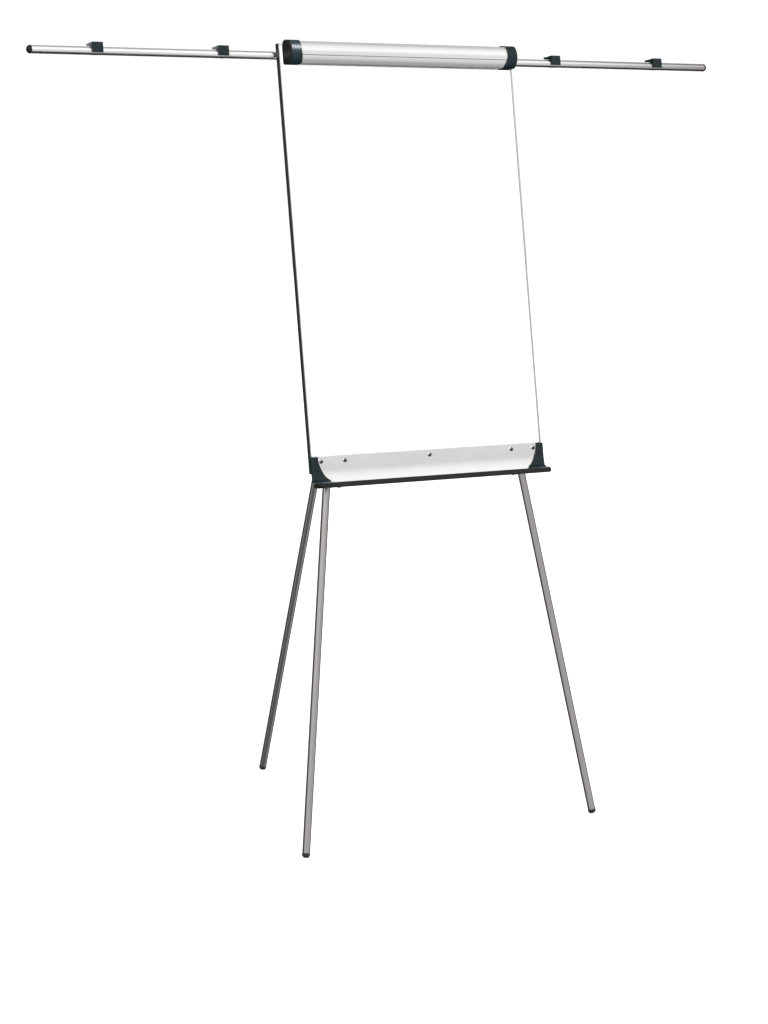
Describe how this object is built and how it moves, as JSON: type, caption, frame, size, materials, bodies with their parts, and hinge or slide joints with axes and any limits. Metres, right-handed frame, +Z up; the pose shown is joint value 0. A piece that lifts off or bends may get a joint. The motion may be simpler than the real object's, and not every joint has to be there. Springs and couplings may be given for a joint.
{
  "type": "flipchart easel",
  "caption": "Flipchart easel with a tilted white dry-wipe board on telescoping tripod legs, a hinged clamp bar, a pen tray and pull-out side arms with spring clips.",
  "frame": {"origin": "on the floor at x = 0 on the board's centre line, midway in depth between the front and the rear feet", "axes": "+X to the right as seen from the front, +Y to the rear, away from the writing surface, +Z up"},
  "size_m": [1.996, 0.9256, 1.9171],
  "materials": {
    "white_enamel": "glossy white enamel",
    "board_core": "grey fibreboard",
    "aluminium": "satin anodised",
    "tube_metal": "satin bright-plated tube",
    "dark_plastic": "moulded, semi-matt",
    "dark_rubber": "matt",
    "dark_screw": "black plated, glossy",
    "steel": "zinc plated",
    "painted_bracket": "black powder coat"
  },
  "bodies": {
    "board": {"writing_sheet": "white_enamel", "panel_core": "board_core", "frame_edge_left": "aluminium", "frame_edge_right": "aluminium", "frame_edge_bottom": "aluminium", "frame_edge_top": "aluminium", "pad_peg_left": "steel", "pad_peg_right": "steel", "tray_profile": "aluminium", "tray_lip": "dark_plastic", "tray_end_cap_left": "dark_plastic", "tray_end_cap_right": "dark_plastic", "tray_screw_1": "dark_screw", "tray_screw_2": "dark_screw", "tray_screw_3": "dark_screw", "tray_screw_4": "dark_screw", "tray_screw_5": "dark_screw", "clamp_hinge_rod": "steel", "hinge_lug_left": "steel", "hinge_lug_right": "steel", "arm_guide_left": "steel", "arm_guide_right": "steel", "arm_block_left": "dark_plastic", "arm_block_right": "dark_plastic", "leg_guide_left": "tube_metal", "leg_guide_right": "tube_metal", "guide_saddle_left": "dark_plastic", "guide_saddle_right": "dark_plastic", "leg_collar_left": "dark_plastic", "leg_collar_right": "dark_plastic", "rear_hinge_bracket": "painted_bracket", "rear_hinge_pin": "steel"},
    "clamp": {"clamp_bar": "aluminium", "clamp_cap_left": "dark_plastic", "clamp_cap_right": "dark_plastic", "clamp_grip_strip": "dark_rubber"},
    "arm_left": {"arm_tube_left": "tube_metal", "arm_tip_left": "dark_plastic"},
    "arm_right": {"arm_tube_right": "tube_metal", "arm_tip_right": "dark_plastic"},
    "clip_left_inner": {"clip_saddle_left_inner": "dark_plastic"},
    "jaw_left_inner": {"clip_jaw_left_inner": "dark_plastic"},
    "clip_left_outer": {"clip_saddle_left_outer": "dark_plastic"},
    "jaw_left_outer": {"clip_jaw_left_outer": "dark_plastic"},
    "clip_right_inner": {"clip_saddle_right_inner": "dark_plastic"},
    "jaw_right_inner": {"clip_jaw_right_inner": "dark_plastic"},
    "clip_right_outer": {"clip_saddle_right_outer": "dark_plastic"},
    "jaw_right_outer": {"clip_jaw_right_outer": "dark_plastic"},
    "leg_left": {"leg_tube_left": "tube_metal", "foot_left": "dark_rubber"},
    "leg_right": {"leg_tube_right": "tube_metal", "foot_right": "dark_rubber"},
    "lever_left": {"leg_lever_left": "dark_plastic"},
    "lever_right": {"leg_lever_right": "dark_plastic"},
    "rear_upper": {"rear_leg_head": "dark_plastic", "rear_leg_upper": "tube_metal", "rear_leg_collar": "dark_plastic"},
    "rear_lower": {"rear_leg_lower": "tube_metal", "foot_rear": "dark_rubber"},
    "lever_rear": {"rear_leg_lever": "dark_plastic"}
  },
  "joints": [
    {"name": "clamp_hinge", "type": "hinge", "parent": "board", "child": "clamp", "pos_m": [0, -0.19659, 1.91182], "axis": [-1, 0, 0], "range_deg": [0, 60], "stiffness_Nm_per_rad": 0.35, "springref_deg": -28.65},
    {"name": "arm_left_slide", "type": "slide", "parent": "board", "child": "arm_left", "axis": [1, 0, 0], "range_m": [0, 0.55]},
    {"name": "arm_right_slide", "type": "slide", "parent": "board", "child": "arm_right", "axis": [-1, 0, 0], "range_m": [0, 0.55]},
    {"name": "clip_left_inner_slide", "type": "slide", "parent": "arm_left", "child": "clip_left_inner", "axis": [-1, 0, 0], "range_m": [0, 0.4273]},
    {"name": "jaw_left_inner_hinge", "type": "hinge", "parent": "clip_left_inner", "child": "jaw_left_inner", "pos_m": [-0.4827, -0.1769, 1.89423], "axis": [-1, 0, 0], "range_deg": [0, 15], "stiffness_Nm_per_rad": 0.06, "springref_deg": -34.38},
    {"name": "clip_left_outer_slide", "type": "slide", "parent": "arm_left", "child": "clip_left_outer", "axis": [-1, 0, 0], "range_m": [0, 0.1248]},
    {"name": "jaw_left_outer_hinge", "type": "hinge", "parent": "clip_left_outer", "child": "jaw_left_outer", "pos_m": [-0.8147, -0.1769, 1.89423], "axis": [-1, 0, 0], "range_deg": [0, 15], "stiffness_Nm_per_rad": 0.06, "springref_deg": -34.38},
    {"name": "clip_right_inner_slide", "type": "slide", "parent": "arm_right", "child": "clip_right_inner", "axis": [1, 0, 0], "range_m": [0, 0.4042]},
    {"name": "jaw_right_inner_hinge", "type": "hinge", "parent": "clip_right_inner", "child": "jaw_right_inner", "pos_m": [0.5063, -0.15277, 1.89338], "axis": [-1, 0, 0], "range_deg": [0, 15], "stiffness_Nm_per_rad": 0.06, "springref_deg": -34.38},
    {"name": "clip_right_outer_slide", "type": "slide", "parent": "arm_right", "child": "clip_right_outer", "axis": [1, 0, 0], "range_m": [0, 0.1033]},
    {"name": "jaw_right_outer_hinge", "type": "hinge", "parent": "clip_right_outer", "child": "jaw_right_outer", "pos_m": [0.8363, -0.15277, 1.89338], "axis": [-1, 0, 0], "range_deg": [0, 15], "stiffness_Nm_per_rad": 0.06, "springref_deg": -34.38},
    {"name": "leg_left_slide", "type": "slide", "parent": "board", "child": "leg_left", "axis": [0.1564, 0.1409, 0.9776], "range_m": [0, 0.8]},
    {"name": "lever_left_hinge", "type": "hinge", "parent": "board", "child": "lever_left", "pos_m": [-0.28567, -0.3085, 0.87016], "axis": [-0.9877, 0.0223, 0.1548], "range_deg": [0, 100]},
    {"name": "leg_right_slide", "type": "slide", "parent": "board", "child": "leg_right", "axis": [-0.1564, 0.1409, 0.9776], "range_m": [0, 0.8]},
    {"name": "lever_right_hinge", "type": "hinge", "parent": "board", "child": "lever_right", "pos_m": [0.28567, -0.3085, 0.87016], "axis": [-0.9877, -0.0223, -0.1548], "range_deg": [0, 100]},
    {"name": "rear_leg_fold", "type": "hinge", "parent": "board", "child": "rear_upper", "pos_m": [0, -0.15715, 1.80692], "axis": [-1, 0, 0], "range_deg": [0, 26.5]},
    {"name": "rear_leg_slide", "type": "slide", "parent": "rear_upper", "child": "rear_lower", "axis": [0, -0.3209, 0.9471], "range_m": [0, 0.775]},
    {"name": "lever_rear_hinge", "type": "hinge", "parent": "rear_upper", "child": "lever_rear", "pos_m": [0, 0.16461, 0.91912], "axis": [-1, 0, 0], "range_deg": [0, 100]}
  ],
  "couplings": [
    {"joint": "clip_left_inner_slide", "follows": "arm_left_slide", "ratio": 0.775},
    {"joint": "clip_left_outer_slide", "follows": "arm_left_slide", "ratio": 0.225},
    {"joint": "clip_right_inner_slide", "follows": "arm_right_slide", "ratio": 0.733},
    {"joint": "clip_right_outer_slide", "follows": "arm_right_slide", "ratio": 0.186}
  ]
}
